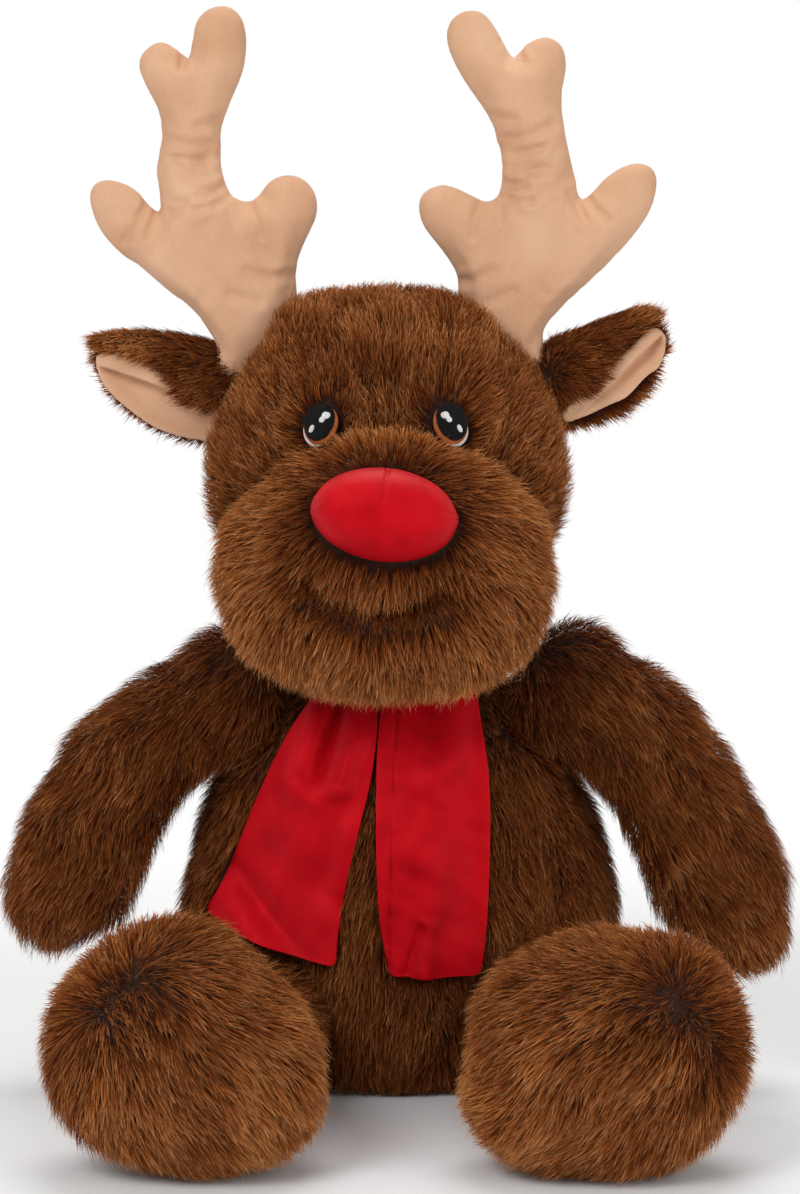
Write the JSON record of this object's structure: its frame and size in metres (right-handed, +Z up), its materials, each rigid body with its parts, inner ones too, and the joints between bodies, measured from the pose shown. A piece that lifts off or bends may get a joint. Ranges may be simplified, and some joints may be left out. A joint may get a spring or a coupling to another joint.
{
  "type": "plush deer",
  "caption": "Seated stuffed toy deer in brown faux fur with suede antlers, a padded satin nose, embroidered eyes and a satin scarf; its head, ears, antlers, arms and legs flex and spring back",
  "frame": {"origin": "middle of the flat seat that the deer rests on", "axes": "+Z up, -Y the way the deer faces, +X towards the deer's own left"},
  "size_m": [0.4632, 0.4373, 0.6489],
  "materials": {
    "brown_fur": "long-pile faux fur, brown with golden tips",
    "tan_suede": "matte microsuede, tan",
    "red_satin": "smooth satin with a soft sheen, red",
    "eye_thread": "glossy embroidery thread",
    "fibre_filling": "loose polyester fibre"
  },
  "bodies": {
    "torso": {"torso_skin": "brown_fur", "seat_panel": "brown_fur", "torso_filling": "fibre_filling", "scarf_band": "red_satin"},
    "neck": {"neck_filling": "fibre_filling"},
    "head": {"head_skin": "brown_fur", "muzzle_skin": "brown_fur", "head_filling": "fibre_filling", "nose_cover": "red_satin", "nose_filling": "fibre_filling", "eye_left": "eye_thread", "eye_right": "eye_thread"},
    "tail": {"tail": "brown_fur"},
    "arm_left": {"arm_left_skin": "brown_fur", "arm_left_filling": "fibre_filling"},
    "leg_left": {"leg_left_skin": "brown_fur", "sole_left_panel": "brown_fur", "leg_left_filling": "fibre_filling"},
    "ear_left": {"ear_left_back": "brown_fur", "ear_left_lining": "tan_suede"},
    "antler_left": {"antler_left_front": "tan_suede", "antler_left_back": "tan_suede", "antler_left_filling": "fibre_filling"},
    "scarf_left": {"scarf_end_left": "red_satin"},
    "arm_right": {"arm_right_skin": "brown_fur", "arm_right_filling": "fibre_filling"},
    "leg_right": {"leg_right_skin": "brown_fur", "sole_right_panel": "brown_fur", "leg_right_filling": "fibre_filling"},
    "ear_right": {"ear_right_back": "brown_fur", "ear_right_lining": "tan_suede"},
    "antler_right": {"antler_right_front": "tan_suede", "antler_right_back": "tan_suede", "antler_right_filling": "fibre_filling"},
    "scarf_right": {"scarf_end_right": "red_satin"}
  },
  "joints": [
    {"name": "neck_turn", "type": "hinge", "parent": "torso", "child": "neck", "pos_m": [-0.002, 0.015, 0.288], "axis": [0, 0, 1], "range_deg": [-15, 15], "stiffness_Nm_per_rad": 3},
    {"name": "head_nod", "type": "hinge", "parent": "neck", "child": "head", "pos_m": [-0.002, 0.015, 0.288], "axis": [-1, 0, 0], "range_deg": [-5, 12], "stiffness_Nm_per_rad": 6},
    {"name": "tail_flop", "type": "hinge", "parent": "torso", "child": "tail", "pos_m": [0, 0.09649, 0.104], "axis": [1, 0, 0], "range_deg": [0, 25], "stiffness_Nm_per_rad": 0.05},
    {"name": "arm_left_raise", "type": "hinge", "parent": "torso", "child": "arm_left", "pos_m": [0.094, -0.012, 0.228], "axis": [0, -1, 0], "range_deg": [-8, 50], "stiffness_Nm_per_rad": 1.2},
    {"name": "leg_left_spread", "type": "hinge", "parent": "torso", "child": "leg_left", "pos_m": [0.078, -0.035, 0.054], "axis": [0, 0, 1], "range_deg": [-8, 20], "stiffness_Nm_per_rad": 1.5},
    {"name": "ear_left_flap", "type": "hinge", "parent": "head", "child": "ear_left", "pos_m": [0.094, 0.01, 0.404], "axis": [0, 0, 1], "range_deg": [-20, 20], "stiffness_Nm_per_rad": 0.15},
    {"name": "antler_left_sway", "type": "hinge", "parent": "head", "child": "antler_left", "pos_m": [0.059, 0, 0.438], "axis": [1, 0, 0], "range_deg": [-10, 10], "stiffness_Nm_per_rad": 1},
    {"name": "scarf_left_lift", "type": "hinge", "parent": "torso", "child": "scarf_left", "pos_m": [0.02411, -0.0434, 0.233], "axis": [-1, 0, 0], "range_deg": [0, 35], "stiffness_Nm_per_rad": 0.02},
    {"name": "arm_right_raise", "type": "hinge", "parent": "torso", "child": "arm_right", "pos_m": [-0.094, -0.012, 0.228], "axis": [0, 1, 0], "range_deg": [-8, 50], "stiffness_Nm_per_rad": 1.2},
    {"name": "leg_right_spread", "type": "hinge", "parent": "torso", "child": "leg_right", "pos_m": [-0.078, -0.035, 0.054], "axis": [0, 0, -1], "range_deg": [-8, 20], "stiffness_Nm_per_rad": 1.5},
    {"name": "ear_right_flap", "type": "hinge", "parent": "head", "child": "ear_right", "pos_m": [-0.104, 0.01, 0.404], "axis": [0, 0, -1], "range_deg": [-20, 20], "stiffness_Nm_per_rad": 0.15},
    {"name": "antler_right_sway", "type": "hinge", "parent": "head", "child": "antler_right", "pos_m": [-0.083, 0, 0.438], "axis": [1, 0, 0], "range_deg": [-10, 10], "stiffness_Nm_per_rad": 1},
    {"name": "scarf_right_lift", "type": "hinge", "parent": "torso", "child": "scarf_right", "pos_m": [-0.02608, -0.04383, 0.233], "axis": [-1, 0, 0], "range_deg": [0, 35], "stiffness_Nm_per_rad": 0.02}
  ]
}
